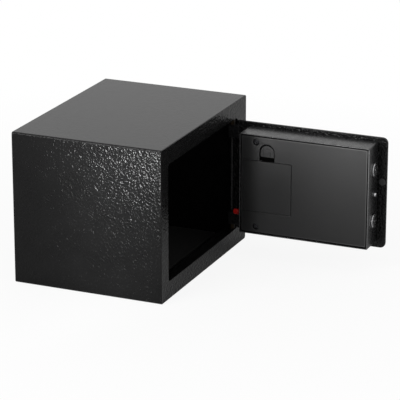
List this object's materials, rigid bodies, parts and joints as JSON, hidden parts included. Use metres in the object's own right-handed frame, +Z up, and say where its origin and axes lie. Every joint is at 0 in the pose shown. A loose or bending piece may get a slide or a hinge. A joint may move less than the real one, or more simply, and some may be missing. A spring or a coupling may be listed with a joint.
{
  "type": "small electronic safe",
  "caption": "Small steel safe with an inset keypad door standing open, sliding round bolts worked by a knob, and a battery box in the door's moulded rear cover.",
  "frame": {"origin": "middle of the cabinet's underside, on the surface that it stands on", "axes": "+Z up, the door opening faces -Y, +X towards the hinge side"},
  "size_m": [0.2309, 0.3475, 0.168],
  "materials": {
    "hammered_paint": "black hammered powder coat",
    "satin_paint": "black satin powder coat",
    "cover_plastic": "black satin moulding",
    "black_rubber": "matt",
    "zinc_steel": "zinc plated",
    "bright_chrome": "polished",
    "brass_bush": "turned",
    "silver_plastic": "silver paint on plastic",
    "red_plastic": "gloss red",
    "pale_plastic": "pale natural",
    "circuit_board": "green solder mask",
    "cell_jacket": "dark grey jacket",
    "light_pipe": "clear"
  },
  "bodies": {
    "cabinet": {"cabinet_shell": "hammered_paint", "back_panel": "hammered_paint", "floor_mat": "black_rubber", "door_stop": "hammered_paint", "upper_hinge_bush": "brass_bush", "lower_hinge_bush": "brass_bush"},
    "door": {"door_plate": "hammered_paint", "upper_hinge_lug": "zinc_steel", "lower_hinge_lug": "zinc_steel", "lock_case": "satin_paint", "rear_cover": "cover_plastic", "bolt_guide": "zinc_steel", "case_screw": "bright_chrome", "upper_cover_screw": "zinc_steel", "lower_cover_screw": "zinc_steel", "door_buffer": "black_rubber", "control_board": "circuit_board", "battery_1": "cell_jacket", "battery_2": "cell_jacket", "battery_3": "cell_jacket", "battery_4": "cell_jacket", "lower_contact_strip": "zinc_steel", "upper_contact_strip": "zinc_steel", "reset_switch": "cover_plastic", "reset_bush": "pale_plastic", "upper_guide_post": "zinc_steel", "lower_guide_post": "zinc_steel", "spindle_bush": "brass_bush", "solenoid_bracket": "zinc_steel", "solenoid": "zinc_steel", "front_panel": "cover_plastic", "key_mat": "black_rubber", "status_lights": "light_pipe", "lock_barrel": "bright_chrome", "barrel_nut": "zinc_steel"},
    "battery_cover": {"battery_door": "cover_plastic"},
    "knob_shaft": {"knob": "silver_plastic", "knob_spindle": "zinc_steel"},
    "bolt_work": {"bolt_carriage": "zinc_steel", "upper_bolt": "bright_chrome", "lower_bolt": "bright_chrome"},
    "solenoid_pin": {"plunger": "zinc_steel", "plunger_spring": "zinc_steel"},
    "emergency_plug": {"key_plug": "brass_bush", "lock_cam": "zinc_steel"},
    "keyhole_cover": {"keyhole_cap": "silver_plastic"},
    "reset": {"reset_button": "red_plastic"},
    "key_1_cap": {"key_1": "silver_plastic"},
    "key_2_cap": {"key_2": "silver_plastic"},
    "key_3_cap": {"key_3": "silver_plastic"},
    "key_4_cap": {"key_4": "silver_plastic"},
    "key_5_cap": {"key_5": "silver_plastic"},
    "key_6_cap": {"key_6": "silver_plastic"},
    "key_7_cap": {"key_7": "silver_plastic"},
    "key_8_cap": {"key_8": "silver_plastic"},
    "key_9_cap": {"key_9": "silver_plastic"},
    "key_clear_cap": {"key_clear": "silver_plastic"},
    "key_0_cap": {"key_0": "silver_plastic"},
    "key_enter_cap": {"key_enter": "silver_plastic"}
  },
  "joints": [
    {"name": "door_hinge", "type": "hinge", "parent": "cabinet", "child": "door", "pos_m": [0.085, -0.0815, 0.084], "axis": [0, 0, 1], "range_deg": [-90, 9]},
    {"name": "knob_turn", "type": "hinge", "parent": "door", "child": "knob_shaft", "pos_m": [0.0979, -0.2035, 0.08], "axis": [1, 0, 0], "range_deg": [0, 90]},
    {"name": "bolt_slide", "type": "slide", "parent": "door", "child": "bolt_work", "axis": [0, -1, 0], "range_m": [0, 0.018]},
    {"name": "plunger_slide", "type": "slide", "parent": "door", "child": "solenoid_pin", "axis": [0, 0, -1], "range_m": [0, 0.006], "deforming": ["plunger_spring"]},
    {"name": "emergency_key", "type": "hinge", "parent": "door", "child": "emergency_plug", "pos_m": [0.0987, -0.1732, 0.07], "axis": [-1, 0, 0], "range_deg": [0, 90]},
    {"name": "keyhole_cap_swing", "type": "hinge", "parent": "door", "child": "keyhole_cover", "pos_m": [0.099, -0.1732, 0.0825], "axis": [1, 0, 0], "range_deg": [0, 100]},
    {"name": "battery_door_tilt", "type": "hinge", "parent": "door", "child": "battery_cover", "pos_m": [0.0573, -0.1339, 0.0544], "axis": [0, -1, 0], "range_deg": [0, 45]},
    {"name": "reset_press", "type": "slide", "parent": "door", "child": "reset", "axis": [0, -1, 0], "range_m": [0, 0.0012], "stiffness_N_per_m": 300},
    {"name": "key_1_press", "type": "slide", "parent": "door", "child": "key_1_cap", "axis": [-1, 0, 0], "range_m": [0, 0.001], "stiffness_N_per_m": 400},
    {"name": "key_2_press", "type": "slide", "parent": "door", "child": "key_2_cap", "axis": [-1, 0, 0], "range_m": [0, 0.001], "stiffness_N_per_m": 400},
    {"name": "key_3_press", "type": "slide", "parent": "door", "child": "key_3_cap", "axis": [-1, 0, 0], "range_m": [0, 0.001], "stiffness_N_per_m": 400},
    {"name": "key_4_press", "type": "slide", "parent": "door", "child": "key_4_cap", "axis": [-1, 0, 0], "range_m": [0, 0.001], "stiffness_N_per_m": 400},
    {"name": "key_5_press", "type": "slide", "parent": "door", "child": "key_5_cap", "axis": [-1, 0, 0], "range_m": [0, 0.001], "stiffness_N_per_m": 400},
    {"name": "key_6_press", "type": "slide", "parent": "door", "child": "key_6_cap", "axis": [-1, 0, 0], "range_m": [0, 0.001], "stiffness_N_per_m": 400},
    {"name": "key_7_press", "type": "slide", "parent": "door", "child": "key_7_cap", "axis": [-1, 0, 0], "range_m": [0, 0.001], "stiffness_N_per_m": 400},
    {"name": "key_8_press", "type": "slide", "parent": "door", "child": "key_8_cap", "axis": [-1, 0, 0], "range_m": [0, 0.001], "stiffness_N_per_m": 400},
    {"name": "key_9_press", "type": "slide", "parent": "door", "child": "key_9_cap", "axis": [-1, 0, 0], "range_m": [0, 0.001], "stiffness_N_per_m": 400},
    {"name": "key_clear_press", "type": "slide", "parent": "door", "child": "key_clear_cap", "axis": [-1, 0, 0], "range_m": [0, 0.001], "stiffness_N_per_m": 400},
    {"name": "key_0_press", "type": "slide", "parent": "door", "child": "key_0_cap", "axis": [-1, 0, 0], "range_m": [0, 0.001], "stiffness_N_per_m": 400},
    {"name": "key_enter_press", "type": "slide", "parent": "door", "child": "key_enter_cap", "axis": [-1, 0, 0], "range_m": [0, 0.001], "stiffness_N_per_m": 400}
  ],
  "couplings": [
    {"joint": "knob_turn", "follows": "bolt_slide", "rad_per_m": 87.266}
  ]
}
